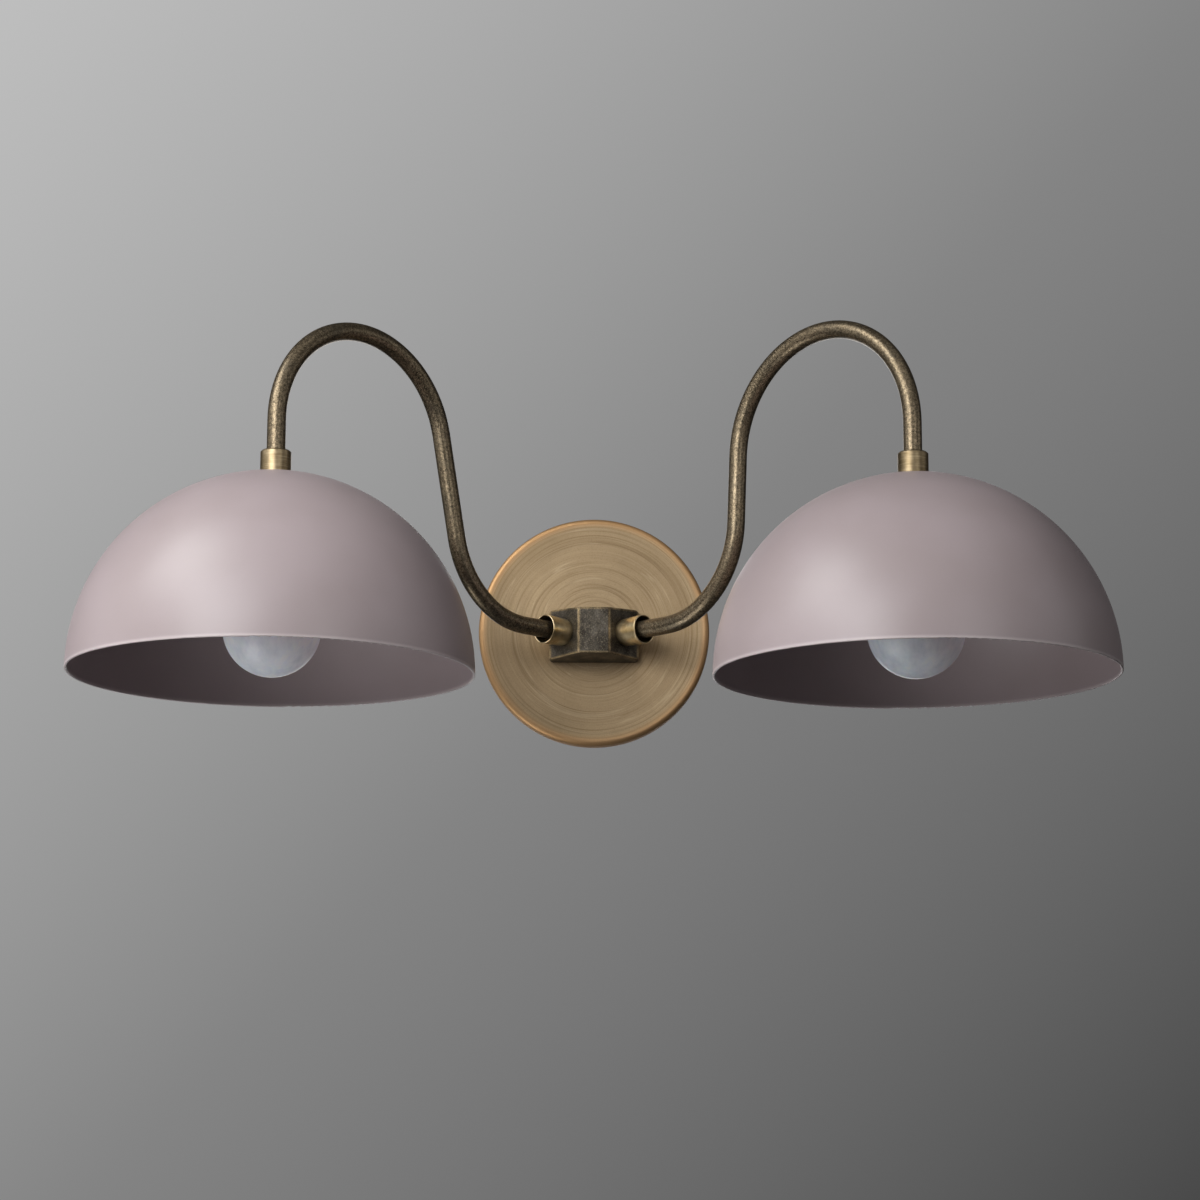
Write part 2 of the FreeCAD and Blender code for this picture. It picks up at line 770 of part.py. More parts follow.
for name, side in SIDES.items():
    nodes["hub_cup_" + name] = make_cup(side)
    nodes["arm_lock_nut_" + name] = make_arm_nut(side)
    nodes["arm_tube_" + name] = make_tube(name)
    nodes["lead_cable_" + name] = make_cable(name)
    nodes["shade_collar_" + name] = make_collar(name)
    nodes["shade_" + name] = make_shade(name)
    nodes["socket_nipple_" + name] = make_nipple(name)
    nodes["shade_washer_" + name] = make_shade_washer(name)
    nodes["shade_lock_nut_" + name] = make_shade_nut(name)
    nodes["socket_cap_" + name] = make_socket_cap(name)
    nodes["socket_body_" + name] = make_socket_body(name)
    nodes["terminal_screws_" + name] = make_terminal_screws(name)
    nodes["screw_shell_" + name] = make_screw_shell(name)
    nodes["centre_contact_" + name] = make_centre_contact(name)
    nodes["bulb_globe_" + name] = make_globe(name)
    nodes["bulb_base_" + name] = make_bulb_base(name)
    nodes["bulb_insulator_" + name] = make_insulator(name)
    nodes["bulb_tip_" + name] = make_tip(name)

os.makedirs("parts", exist_ok=True)
for name, shape in nodes.items():
    if isinstance(shape, list):
        shape = Part.makeCompound(shape)
    shape.exportStep("parts/" + name + ".step")
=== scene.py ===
import json
import math

import bmesh
import bpy
from mathutils import Matrix, Vector


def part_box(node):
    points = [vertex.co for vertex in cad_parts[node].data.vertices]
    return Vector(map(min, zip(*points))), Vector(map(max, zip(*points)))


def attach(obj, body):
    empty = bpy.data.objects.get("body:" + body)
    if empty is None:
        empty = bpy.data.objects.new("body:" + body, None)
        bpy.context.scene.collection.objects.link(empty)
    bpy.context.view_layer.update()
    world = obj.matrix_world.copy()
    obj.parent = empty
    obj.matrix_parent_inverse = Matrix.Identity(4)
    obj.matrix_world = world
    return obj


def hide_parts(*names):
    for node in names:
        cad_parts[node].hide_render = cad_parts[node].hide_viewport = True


# Double arm wall sconce, in metres: +Z up, the wall at y = 0, the lamp towards -Y.

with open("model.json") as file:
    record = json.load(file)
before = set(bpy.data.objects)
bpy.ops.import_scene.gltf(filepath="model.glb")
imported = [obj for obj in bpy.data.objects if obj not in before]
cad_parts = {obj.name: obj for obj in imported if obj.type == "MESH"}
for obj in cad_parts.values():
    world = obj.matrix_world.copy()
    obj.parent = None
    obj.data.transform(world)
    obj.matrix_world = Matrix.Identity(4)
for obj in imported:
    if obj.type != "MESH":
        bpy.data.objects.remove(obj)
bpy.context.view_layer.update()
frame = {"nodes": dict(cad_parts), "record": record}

# ---------------------------------------------------------------- sizes and places
MM = 0.001
SIDES = {"left": -1, "right": 1}
ARM_AZIMUTH = math.radians(45.0)

canopy_low, canopy_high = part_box("canopy")
canopy_radius = (canopy_high.x - canopy_low.x) / 2
hub_low, hub_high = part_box("hub_body")
hub_middle = (hub_low + hub_high) / 2
shade_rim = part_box("shade_left")[0].z

# The hub's narrow bevels beside its front face, half its height there, and how its height grows
# towards the canopy.
HUB_BEVEL_MIDDLE = 8.4 * MM
HUB_BEVEL_HALF = 0.9 * MM
HUB_FRONT_HALF = 12.7 * MM
HUB_DRAFT_SLOPE = 0.075


# ---------------------------------------------------------------- colours
def linear(channel):
    value = channel / 255
    if value <= 0.04045:
        return value / 12.92
    return ((value + 0.055) / 1.055) ** 2.4


def srgb(red, green, blue):
    return (linear(red), linear(green), linear(blue))


def grey(level):
    return srgb(level, level, level)


def rgba(colour):
    return (*colour[:3], 1.0)


PAINT, PAINT_PALE = srgb(182, 167, 168), srgb(187, 172, 174)
# The rim's colour is a painted highlight: a paler line along the edge of the rim.
PAINT_SPECK, PAINT_RIM_HIGHLIGHT = srgb(150, 132, 134), srgb(236, 224, 224)

CANOPY, CANOPY_PALE = srgb(174, 151, 118), srgb(184, 161, 127)
CANOPY_GROOVE, CANOPY_RIDGE = srgb(126, 102, 70), srgb(190, 168, 136)
CANOPY_HAIR, CANOPY_GRAIN = srgb(196, 174, 142), srgb(130, 108, 80)
CANOPY_RING, CANOPY_CLOUD = srgb(214, 194, 162), srgb(136, 116, 84)
# A painted highlight, warmer and brighter towards the canopy's rounded edge.
CANOPY_EDGE_HIGHLIGHT = srgb(216, 166, 112)

HUB_BLACK, HUB_DARK, HUB_PALE = srgb(52, 46, 38), srgb(84, 78, 69), srgb(114, 108, 98)
HUB_SPECK, HUB_PIT, HUB_RUBBED = srgb(158, 147, 126), srgb(34, 30, 25), srgb(210, 181, 130)
# The first of these is painted shade for the creases, and the second a painted shadow along the
# seam with the canopy.
HUB_CREASE_SHADE, HUB_SEAM_SHADOW = srgb(18, 14, 9), srgb(18, 15, 11)

TUBE_DARK, TUBE_MIDDLE, TUBE_PALE = srgb(66, 57, 44), srgb(122, 108, 86), srgb(178, 160, 132)
TUBE_SPECK, TUBE_PIT, TUBE_CLOUD = srgb(194, 178, 150), srgb(42, 35, 27), srgb(78, 75, 68)

TURNED_RIDGE, TURNED_GROOVE = srgb(238, 220, 184), srgb(120, 98, 62)
# The second of these is painted shade for the creases.
TURNED_LIP, TURNED_CREASE_SHADE = srgb(244, 228, 196), srgb(30, 24, 16)

PLATED_EDGE = srgb(226, 226, 224)
# The last of these is the colour of a painted glow; the bulbs are not lit.
FROST_DARK, FROST_PALE, FROST_PAINTED_GLOW = srgb(204, 209, 221), srgb(252, 253, 255), srgb(216, 220, 232)

FLOOR_PALE, FLOOR_PALER = srgb(206, 205, 203), srgb(212, 211, 209)
FLOOR_LIGHTING = srgb(120, 119, 118)


# ---------------------------------------------------------------- shader helpers
# The Mix node's sockets for colours, among those for its other kinds of data.
MIX_COLOURS = (6, 7)
MIX_RESULT = 2

RAY_SAMPLES = 6
EDGE_TURN = (0.02, 0.35)
MOST_OF_NOISE = (0.3, 0.7)


class Nodes:
    """Short ways to add nodes to a node tree."""

    def __init__(self, tree):
        self.tree = tree

    def node(self, kind, **settings):
        made = self.tree.nodes.new(kind)
        for name, value in settings.items():
            setattr(made, name, value)
        return made

    def feed(self, socket, value):
        if isinstance(value, bpy.types.NodeSocket):
            self.tree.links.new(value, socket)
        else:
            socket.default_value = value

    def math(self, operation, a, b=0.0):
        made = self.node("ShaderNodeMath", operation=operation)
        self.feed(made.inputs[0], a)
        self.feed(made.inputs[1], b)
        return made.outputs[0]

    def vector(self, operation, a, b):
        """The number that a vector operation gives."""
        made = self.node("ShaderNodeVectorMath", operation=operation)
        self.feed(made.inputs[0], a)
        self.feed(made.inputs[1], b)
        return made.outputs["Value"]

    def parts(self, vector):
        made = self.node("ShaderNodeSeparateXYZ")
        self.feed(made.inputs[0], vector)
        return made.outputs

    def joined(self, x, y, z):
        made = self.node("ShaderNodeCombineXYZ")
        for socket, value in zip(made.inputs, (x, y, z)):
            self.feed(socket, value)
        return made.outputs[0]

    def span(self, value, low, high, to_low=0.0, to_high=1.0, smooth=False):
        """Value mapped from low..high to to_low..to_high, and held there."""
        kind = "SMOOTHSTEP" if smooth else "LINEAR"
        made = self.node("ShaderNodeMapRange", interpolation_type=kind)
        for socket, number in zip(made.inputs, (value, low, high, to_low, to_high)):
            self.feed(socket, number)
        return made.outputs[0]

    def ramp(self, value, first, last, *between):
        """Colour ramp through (place, colour) stops."""
        made = self.node("ShaderNodeValToRGB")
        self.feed(made.inputs[0], value)
        elements = made.color_ramp.elements
        for element, (place, colour) in zip(elements, (first, last)):
            element.position = place
            element.color = rgba(colour)
        for place, colour in between:
            elements.new(place).color = rgba(colour)
        return made.outputs[0]

    def mix(self, factor, a, b):
        """Colour a where the factor is 0, and b where it is 1."""
        made = self.node("ShaderNodeMix", data_type="RGBA")
        self.feed(made.inputs[0], factor)
        for socket, colour in zip(MIX_COLOURS, (a, b)):
            plain = not isinstance(colour, bpy.types.NodeSocket)
            self.feed(made.inputs[socket], rgba(colour) if plain else colour)
        return made.outputs[MIX_RESULT]

    def laid(self, base, colour, value, none_at, full_at, amount, smooth=False):
        """Colour laid over base, from nothing where value is none_at to amount at full_at."""
        if none_at < full_at:
            factor = self.span(value, none_at, full_at, 0.0, amount, smooth)
        else:
            factor = self.span(value, full_at, none_at, amount, 0.0, smooth)
        return self.mix(factor, base, colour)


class Shader(Nodes):
    """One Principled material and the nodes that feed it, in object coordinates."""

    def __init__(self, name, **sockets):
        self.material = bpy.data.materials.new(name)
        self.material.use_nodes = True
        super().__init__(self.material.node_tree)
        self.surface = self.tree.nodes["Principled BSDF"]
        for socket, value in sockets.items():
            self.surface.inputs[socket.replace("_", " ")].default_value = value
        self.position = self.node("ShaderNodeTexCoord").outputs["Object"]

    def link(self, name, output):
        self.tree.links.new(output, self.surface.inputs[name])

    def noise(self, per_metre, detail=3.0, roughness=0.55, distortion=0.0, at=None):
        made = self.node("ShaderNodeTexNoise")
        self.feed(made.inputs["Vector"], self.position if at is None else at)
        made.inputs["Scale"].default_value = per_metre
        made.inputs["Detail"].default_value = detail
        made.inputs["Roughness"].default_value = roughness
        made.inputs["Distortion"].default_value = distortion
        return made.outputs["Fac"]

    def normal(self):
        return self.node("ShaderNodeNewGeometry").outputs["True Normal"]

    def edges(self, radius):
        """1 on the edges of the solid and 0 on its faces."""
        bevel = self.node("ShaderNodeBevel", samples=RAY_SAMPLES)
        bevel.inputs["Radius"].default_value = radius
        turn = self.vector("DOT_PRODUCT", bevel.outputs[0], self.normal())
        return self.span(self.math("SUBTRACT", 1.0, turn), *EDGE_TURN)

    def recess(self, distance, low=0.15, high=0.75):
        """0 in the creases and 1 on open faces: a mask for painted shade, which darkens the
        creases.
        """
        open_sky = self.node("ShaderNodeAmbientOcclusion", samples=RAY_SAMPLES)
        open_sky.inputs["Distance"].default_value = distance
        return self.span(open_sky.outputs["AO"], low, high)

    def dressed(self, base, noise, roughness, height=None, bump=0.0, strength=0.5):
        """The material, with colour, roughness that follows a noise, and bump from a height."""
        self.link("Base Color", base)
        self.link("Roughness", self.span(noise, *MOST_OF_NOISE, *roughness))
        if height:
            made = self.node("ShaderNodeBump")
            made.inputs["Strength"].default_value = strength
            made.inputs["Distance"].default_value = bump
            self.feed(made.inputs["Height"], height)
            self.link("Normal", made.outputs[0])
        return self.material


# ---------------------------------------------------------------- materials
UPRIGHT = (0, 0, 1)

# The canopy's bright rings lie where a noise passes this level.
RING_LEVEL = 0.56

# Turned metal's tool marks, by how fast they change per metre along the axis and across it.
TOOL_MARKS_ALONG = 2000.0
TOOL_MARKS_ACROSS = 60.0

# The bulbs' clouds are longer upwards than across.
CLOUD_STRETCH = 0.35


def shade_paint():
    """Satin sprayed paint with a fine orange peel and a painted highlight along the rim."""
    shader = Shader("shade_paint", Specular_IOR_Level=0.7)
    cloud = shader.noise(22.0, detail=2.0)
    grain = shader.noise(2600.0, detail=2.0)
    peel = shader.noise(950.0, detail=2.0)
    _, _, height = shader.parts(shader.position)
    base = shader.mix(shader.span(cloud, 0.35, 0.65), PAINT, PAINT_PALE)
    base = shader.laid(base, PAINT_SPECK, grain, none_at=0.62, full_at=0.8, amount=0.10)
    # Painted highlight: a paler line just above the rim's edge.
    base = shader.laid(base, PAINT_RIM_HIGHLIGHT, height, none_at=shade_rim + 2.0 * MM,
                       full_at=shade_rim + 0.9 * MM, amount=0.5)
    return shader.dressed(base, cloud, (0.38, 0.44), height=peel, bump=0.03 * MM, strength=0.6)


def canopy_brass():
    """Antique brass brushed in circles, with a painted warm highlight at its rounded edge."""
    shader = Shader("canopy_brass", Metallic=0.85, Anisotropic=0.3, Anisotropic_Rotation=0.25)
    x, _, z = shader.parts(shader.position)
    radius = shader.vector("LENGTH", shader.joined(x, 0.0, z), (0, 0, 0))
    round_x = shader.math("DIVIDE", x, radius)
    round_z = shader.math("DIVIDE", z, radius)

    def rings(per_metre, around, detail):
        """Noise drawn out along circles, changing per_metre outwards and slowly around."""
        outwards = shader.math("MULTIPLY", radius, per_metre)
        side = shader.math("MULTIPLY", round_x, around)
        rise = shader.math("MULTIPLY", round_z, around)
        return shader.noise(1.0, detail=detail, at=shader.joined(outwards, side, rise))

    hairs = rings(2600.0, around=0.9, detail=2.0)
    fine = rings(820.0, around=0.5, detail=3.0)
    clear = rings(300.0, around=0.35, detail=1.0)
    broad = rings(90.0, around=0.4, detail=2.0)
    grain = shader.noise(1700.0, detail=2.0)
    cloud = shader.noise(30.0, detail=4.0)
    off_ring = shader.math("ABSOLUTE", shader.math("SUBTRACT", clear, RING_LEVEL))
    base = shader.mix(shader.span(broad, 0.35, 0.65), CANOPY, CANOPY_PALE)
    base = shader.laid(base, CANOPY_GROOVE, fine, none_at=0.50, full_at=0.34, amount=0.55)
    base = shader.laid(base, CANOPY_RIDGE, fine, none_at=0.55, full_at=0.72, amount=0.40)
    base = shader.laid(base, CANOPY_HAIR, hairs, none_at=0.52, full_at=0.70, amount=0.40)
    base = shader.laid(base, CANOPY_GRAIN, grain, none_at=0.50, full_at=0.35, amount=0.22)
    base = shader.laid(base, CANOPY_RING, off_ring, none_at=0.018, full_at=0.0, amount=0.38)
    base = shader.laid(base, CANOPY_CLOUD, cloud, none_at=0.45, full_at=0.75, amount=0.30)
    # Painted highlight: warmer and brighter towards the rounded edge.
    base = shader.laid(base, CANOPY_EDGE_HIGHLIGHT, radius, none_at=canopy_radius - 6 * MM,
                       full_at=canopy_radius - 1 * MM, amount=0.6, smooth=True)
    tangent = shader.node("ShaderNodeTangent", direction_type="RADIAL", axis="Y")
    shader.link("Tangent", tangent.outputs[0])
    return shader.dressed(base, fine, (0.48, 0.60), height=shader.math("ADD", fine, hairs),
                          bump=0.02 * MM)


def hub_bronze():
    """Cast block with a blackened finish, rubbed back to brass on its bevels and edges, with
    painted shade in its creases and a painted shadow along its seam with the canopy.
    """
    shader = Shader("hub_bronze", Metallic=0.75)
    cloud = shader.noise(150.0, detail=4.0)
    pits = shader.noise(1500.0)
    base = shader.ramp(cloud, (0.3, HUB_BLACK), (0.72, HUB_PALE), (0.5, HUB_DARK))
    base = shader.laid(base, HUB_SPECK, pits, none_at=0.54, full_at=0.68, amount=0.5)
    base = shader.laid(base, HUB_PIT, pits, none_at=0.45, full_at=0.32, amount=0.45)

    x, y, z = shader.parts(shader.position)
    aside = shader.math("ABSOLUTE", x)
    off_bevel = shader.math("ABSOLUTE", shader.math("SUBTRACT", aside, HUB_BEVEL_MIDDLE))
    bevel = shader.span(off_bevel, HUB_BEVEL_HALF * 0.1, HUB_BEVEL_HALF * 1.1, 0.85, 0.0)
    depth = shader.math("SUBTRACT", y, hub_low.y)
    rise = shader.math("ABSOLUTE", shader.math("SUBTRACT", z, hub_middle.z))
    rise = shader.math("SUBTRACT", rise, shader.math("MULTIPLY", depth, HUB_DRAFT_SLOPE))
    level = shader.span(rise, HUB_FRONT_HALF - 1.5 * MM, HUB_FRONT_HALF - 0.3 * MM, 0.0, 0.9)
    end = shader.span(aside, hub_high.x - 1.4 * MM, hub_high.x - 0.4 * MM, 0.0, 0.8)
    rubbed = shader.math("MAXIMUM", bevel, shader.math("MAXIMUM", level, end))

    _, _, facing = shader.parts(shader.normal())
    lying = shader.span(shader.math("ABSOLUTE", facing), 0.5, 0.9, 1.0, 0.22)
    worn = shader.math("MULTIPLY", shader.span(pits, 0.40, 0.60, 0.55, 1.0),
                       shader.span(cloud, 0.38, 0.62, 0.3, 1.0))
    rubbed = shader.math("MULTIPLY", shader.math("MULTIPLY", rubbed, lying), worn)
    base = shader.mix(rubbed, base, HUB_RUBBED)
    # Painted shade: darker where the block is hemmed in, beside the cups and the canopy.
    base = shader.mix(shader.recess(11 * MM, low=0.3, high=0.95), HUB_CREASE_SHADE, base)
    # Painted shadow: dark along the seam where the block meets the canopy.
    base = shader.laid(base, HUB_SEAM_SHADOW, y, none_at=hub_high.y - 1.5 * MM,
                       full_at=hub_high.y - 0.5 * MM, amount=0.85)
    return shader.dressed(base, pits, (0.38, 0.58), height=pits, bump=0.08 * MM)


def tube_bronze():
    """Mottled dark bronze with brass showing through in specks."""
    shader = Shader("tube_bronze", Metallic=0.85)
    mottle = shader.noise(850.0, detail=4.0, roughness=0.7)
    specks = shader.noise(2300.0, detail=2.0)
    cloud = shader.noise(50.0)
    base = shader.ramp(mottle, (0.34, TUBE_DARK), (0.70, TUBE_PALE), (0.5, TUBE_MIDDLE))
    base = shader.laid(base, TUBE_SPECK, specks, none_at=0.54, full_at=0.68, amount=0.55)
    base = shader.laid(base, TUBE_PIT, specks, none_at=0.45, full_at=0.34, amount=0.60)
    base = shader.laid(base, TUBE_CLOUD, cloud, none_at=0.5, full_at=0.7, amount=0.4)
    return shader.dressed(base, specks, (0.31, 0.43), height=mottle, bump=0.03 * MM, strength=0.4)


def turned_brass(name, axis, pale, deep, roughness):
    """Antique brass turned about an axis, darker in blotches, bright on its lips, with painted
    shade in its creases.
    """
    shader = Shader(name, Metallic=1.0)
    along = shader.vector("DOT_PRODUCT", shader.position, axis)
    x, y, _ = shader.parts(shader.position)
    lines = shader.joined(shader.math("MULTIPLY", along, TOOL_MARKS_ALONG),
                          shader.math("MULTIPLY", x, TOOL_MARKS_ACROSS),
                          shader.math("MULTIPLY", y, TOOL_MARKS_ACROSS))
    turned = shader.noise(1.0, at=lines)
    cloud = shader.noise(260.0, detail=4.0)
    base = shader.mix(shader.span(cloud, 0.35, 0.68), pale, deep)
    base = shader.laid(base, TURNED_RIDGE, turned, none_at=0.5, full_at=0.8, amount=0.5)
    base = shader.laid(base, TURNED_GROOVE, turned, none_at=0.42, full_at=0.25, amount=0.45)
    base = shader.mix(shader.edges(0.5 * MM), base, TURNED_LIP)
    # Painted shade: darker in the creases.
    base = shader.mix(shader.recess(4 * MM), TURNED_CREASE_SHADE, base)
    return shader.dressed(base, turned, roughness, height=turned, bump=0.02 * MM)


def plated_steel(name, colour, dark):
    """Zinc plated steel with faint crystals and rubbed edges."""
    shader = Shader(name, Metallic=1.0)
    crystals = shader.node("ShaderNodeTexVoronoi")
    shader.feed(crystals.inputs["Vector"], shader.position)
    crystals.inputs["Scale"].default_value = 240.0
    cloud = shader.noise(90.0, detail=4.0)
    base = shader.mix(shader.span(cloud, 0.35, 0.65), colour, dark)
    base = shader.laid(base, dark, crystals.outputs["Color"], none_at=0.2, full_at=0.8, amount=0.45)
    base = shader.mix(shader.edges(0.4 * MM), base, PLATED_EDGE)
    return shader.dressed(base, cloud, (0.32, 0.48))


def moulded(name, colour, dark, roughness):
    """Moulded plastic or phenolic with a soft flow pattern and a fine grain."""
    shader = Shader(name)
    flow = shader.noise(120.0, detail=5.0, roughness=0.6, distortion=1.2)
    grain = shader.noise(2200.0, detail=2.0)
    base = shader.mix(shader.span(flow, 0.35, 0.7), colour, dark)
    return shader.dressed(base, grain, roughness, height=grain, bump=0.02 * MM)


def bulb_glass(side, glow):
    """Frosted glass in faint upright clouds, with a weak painted glow, for the bulb is not lit."""
    # The emission is a painted glow that brightens the unlit glass.
    shader = Shader("bulb_glass_" + side, Subsurface_Weight=0.3, Subsurface_Scale=0.02,
                    Emission_Color=rgba(FROST_PAINTED_GLOW), Emission_Strength=glow)
    x, y, z = shader.parts(shader.position)
    drawn_up = shader.joined(x, y, shader.math("MULTIPLY", z, CLOUD_STRETCH))
    cloud = shader.noise(95.0, detail=4.0, roughness=0.6, at=drawn_up)
    base = shader.mix(shader.span(cloud, 0.3, 0.7), FROST_DARK, FROST_PALE)
    return shader.dressed(base, cloud, (0.30, 0.44))


def pressed_metal(name, colour, dark):
    """Thin pressed metal of the bulb's base and the lampholder's contacts."""
    shader = Shader(name, Metallic=1.0)
    cloud = shader.noise(260.0, detail=4.0)
    base = shader.mix(shader.span(cloud, 0.35, 0.68), colour, dark)
    return shader.dressed(base, cloud, (0.24, 0.38))


def own_materials():
    """Materials of the nodes that differ from the rest of their slot, by node."""
    slant = math.sin(ARM_AZIMUTH)
    own = {}
    for name, side in SIDES.items():
        own["hub_cup_" + name] = turned_brass("cup_brass_" + name, (side * slant, -slant, 0),
                                              srgb(252, 232, 190), srgb(218, 192, 142),
                                              (0.28, 0.40))
    # Painted shade: the right collar is a darker, shaded copy of the collar brass.
    own["shade_collar_right"] = turned_brass("collar_brass_right_shaded", UPRIGHT, srgb(150, 133, 104),
                                             srgb(122, 105, 78), (0.36, 0.48))
    # Painted light: the left bulb glows more than the right one.
    own["bulb_globe_left"] = bulb_glass("left", 0.125)
    own["bulb_globe_right"] = bulb_glass("right", 0.075)
    return own


def slot_materials():
    """Materials of the record's slots, by slot."""
    made = {"canopy_brass": canopy_brass(), "hub_bronze": hub_bronze(),
            "tube_bronze": tube_bronze(), "shade_paint": shade_paint()}
    for make, slot, *look in (
            (turned_brass, "collar_brass", UPRIGHT, srgb(172, 153, 122), srgb(142, 123, 92),
             (0.34, 0.46)),
            (plated_steel, "zinc_steel", srgb(190, 192, 194), srgb(164, 166, 168)),
            (plated_steel, "ground_green", srgb(60, 132, 74), srgb(44, 104, 58)),
            (pressed_metal, "contact_brass", srgb(214, 186, 120), srgb(176, 146, 86)),
            (pressed_metal, "bulb_cap_metal", srgb(206, 206, 204), srgb(176, 176, 174)),
            (moulded, "insulator_glass", srgb(34, 32, 36), srgb(20, 18, 22), (0.12, 0.24)),
            (moulded, "phenolic", srgb(46, 38, 34), srgb(30, 25, 23), (0.34, 0.46)),
            (moulded, "cable_jacket", srgb(66, 52, 42), srgb(54, 42, 34), (0.42, 0.54)),
            (moulded, "bushing_plastic", srgb(38, 38, 40), srgb(28, 28, 30), (0.38, 0.50))):
        made[slot] = make(slot, *look)
    return made


def dress_nodes(slots, own):
    """Gives each carried-over solid its own material or that of its slot."""
    for part in frame["record"]["subparts"]:
        node = part["node"]
        mesh = frame["nodes"][node].data
        mesh.materials.clear()
        mesh.materials.append(own.get(node) or slots[part["material_slot"]])


# ---------------------------------------------------------------- threads and screws
E26_PITCH = 3.63 * MM
E26_THREAD_DEPTH = 0.9 * MM
E26_STEPS = 72
E26_POINTS_PER_TURN = 14

BASE_WALL = 0.5 * MM
BASE_SHOULDER = 1.2 * MM
BASE_SHOULDER_TURN = 0.3 * BASE_SHOULDER
BASE_OPENING = 6.0 * MM
BASE_PLAIN_END = 3.6 * MM
BASE_PLAIN_TOP = 0.6 * MM

M4_PITCH = 0.7 * MM
M4_THREAD_DEPTH = 0.35 * MM
M4_STEPS = 36
M4_POINTS_PER_TURN = 6
M4_PLAIN_END = 0.3 * MM
M4_TIP_SHARE = 0.75

# Shares of a screw head's height or radius, and of the quarter turn over its crown.
HEAD_SIDE_SHARE = 0.45
HEAD_CROWN_SHARE = 0.32
HEAD_CROWN_TURNS = (0.3, 0.6, 0.85)
CROSS_LENGTH_SHARE = 1.1
CROSS_WIDTH_SHARE = 0.2
CROSS_HEIGHT_SHARE = 1.1

TERMINAL_SCREW = {"diameter": 4 * MM, "head_diameter": 6 * MM, "head_height": 2 * MM,
                  "length": 4 * MM}
HUB_SCREW = {"diameter": 4 * MM, "head_diameter": 7 * MM, "head_height": 2.2 * MM,
             "length": 7.3 * MM}
GROUND_SCREW = {"diameter": 4 * MM, "head_diameter": 8 * MM, "head_height": 2 * MM,
                "length": 1.6 * MM}

WELD_DISTANCE = 0.01 * MM
SHARP_ANGLE = math.radians(38)


def wound_mesh(name, outline, pitch, steps):
    """Skin of revolution about z through (radius, height, thread depth) points."""
    points, faces = [], []
    count = len(outline)
    for step in range(steps):
        part = step / steps
        angle = 2 * math.pi * part
        for radius, height, depth in outline:
            groove = 0.5 - 0.5 * math.cos(2 * math.pi * (height / pitch - part))
            reach = radius - depth * groove
            points.append((reach * math.cos(angle), reach * math.sin(angle), height))
    for step in range(steps):
        here, there = step * count, (step + 1) % steps * count
        for item in range(count):
            after = (item + 1) % count
            faces.append((here + item, there + item, there + after, here + after))
    mesh = bpy.data.meshes.new(name)
    mesh.from_pydata(points, [], faces)
    clean = bmesh.new()
    clean.from_mesh(mesh)
    bmesh.ops.remove_doubles(clean, verts=clean.verts, dist=WELD_DISTANCE)
    bmesh.ops.recalc_face_normals(clean, faces=clean.faces)
    clean.to_mesh(mesh)
    clean.free()
    return mesh


def threaded_run(radius, start, end, depth, pitch, per_turn):
    """Outline points up a threaded wall, with the thread fading in and out over a turn."""
    count = max(2, round((end - start) / pitch * per_turn))
    run = []
    for item in range(count + 1):
        height = start + (end - start) * item / count
        fade = min(1.0, (height - start) / pitch, (end - height) / pitch)
        run.append((radius, height, depth * max(0.0, fade)))
    return run


def add_piece(name, mesh, body, material, node):
    """Adds a piece that stands for a node of the frame."""
    mesh.materials.append(material)
    mesh.shade_smooth()
    mesh.set_sharp_from_angle(angle=SHARP_ANGLE)
    piece = bpy.data.objects.new(name, mesh)
    bpy.context.scene.collection.objects.link(piece)
    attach(piece, body)
    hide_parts(node)


def make_threaded_base(side, slots):
    """Rolled thread of the bulb's screw base, inside the outline of its solid."""
    node = "bulb_base_" + side
    low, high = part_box(node)
    middle = (low + high) / 2
    radius = (high.x - low.x) / 2
    inner = radius - BASE_WALL
    shoulder_low = high.z - BASE_SHOULDER
    inner_top = high.z - BASE_WALL
    thread = (low.z + BASE_PLAIN_END, shoulder_low - BASE_PLAIN_TOP, E26_THREAD_DEPTH,
              E26_PITCH, E26_POINTS_PER_TURN)
    outline = [(radius, low.z, 0.0)]
    outline += threaded_run(radius, *thread)
    outline += [(radius, shoulder_low, 0.0),
                (radius - BASE_SHOULDER_TURN, high.z - BASE_SHOULDER_TURN, 0.0),
                (radius - BASE_SHOULDER, high.z, 0.0),
                (BASE_OPENING, high.z, 0.0),
                (BASE_OPENING, inner_top, 0.0),
                (inner - BASE_SHOULDER, inner_top, 0.0),
                (inner, shoulder_low - BASE_WALL, 0.0)]
    outline += threaded_run(inner, *thread)[::-1]
    outline.append((inner, low.z, 0.0))
    name = node + "_thread"
    mesh = wound_mesh(name, outline, E26_PITCH, E26_STEPS)
    mesh.transform(Matrix.Translation((middle.x, middle.y, 0)))
    add_piece(name, mesh, "bulb_" + side, slots["bulb_cap_metal"], node)


